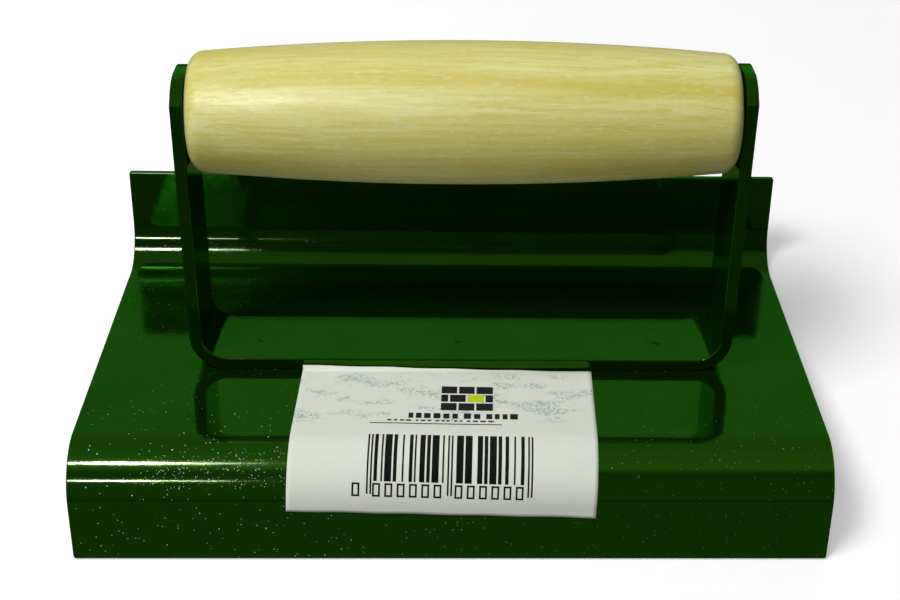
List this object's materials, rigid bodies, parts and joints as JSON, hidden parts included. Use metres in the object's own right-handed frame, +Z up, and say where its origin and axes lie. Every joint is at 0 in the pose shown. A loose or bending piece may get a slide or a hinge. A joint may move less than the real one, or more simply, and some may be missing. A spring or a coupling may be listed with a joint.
{
  "type": "concrete step tool",
  "caption": "Hand tool for forming concrete step and kerb edges: pressed steel blade with down-turned lip, rounded nose and up-turned rear cove, flat-bar stirrup and turned wooden grip.",
  "frame": {"origin": "centre of the bounding box in plan, on the surface that the tool stands on: the lip's bottom edge and the rear heel touch it", "axes": "+X across the blade, along the grip; +Y from the front lip to the rear upstand; +Z up. The plate slopes down towards +Y by 15.39 degrees, as the tool stands when it is put down"},
  "size_m": [0.15, 0.0966, 0.0778],
  "materials": {
    "green_paint": "glossy deep green enamel on sheet steel, with dust and small chips",
    "bracket_paint": "glossy deep green enamel on flat bar",
    "weld_paint": "green enamel over ground weld metal",
    "rod_paint": "green enamel over peened rivet heads",
    "turned_wood": "pale close-grained hardwood, smooth turned, clear satin lacquer",
    "label_paper": null
  },
  "bodies": {
    "root": {"blade": "green_paint", "bracket": "bracket_paint", "plug_welds": "weld_paint", "tie_rod": "rod_paint", "grip": "turned_wood", "label": "label_paper"}
  },
  "joints": []
}
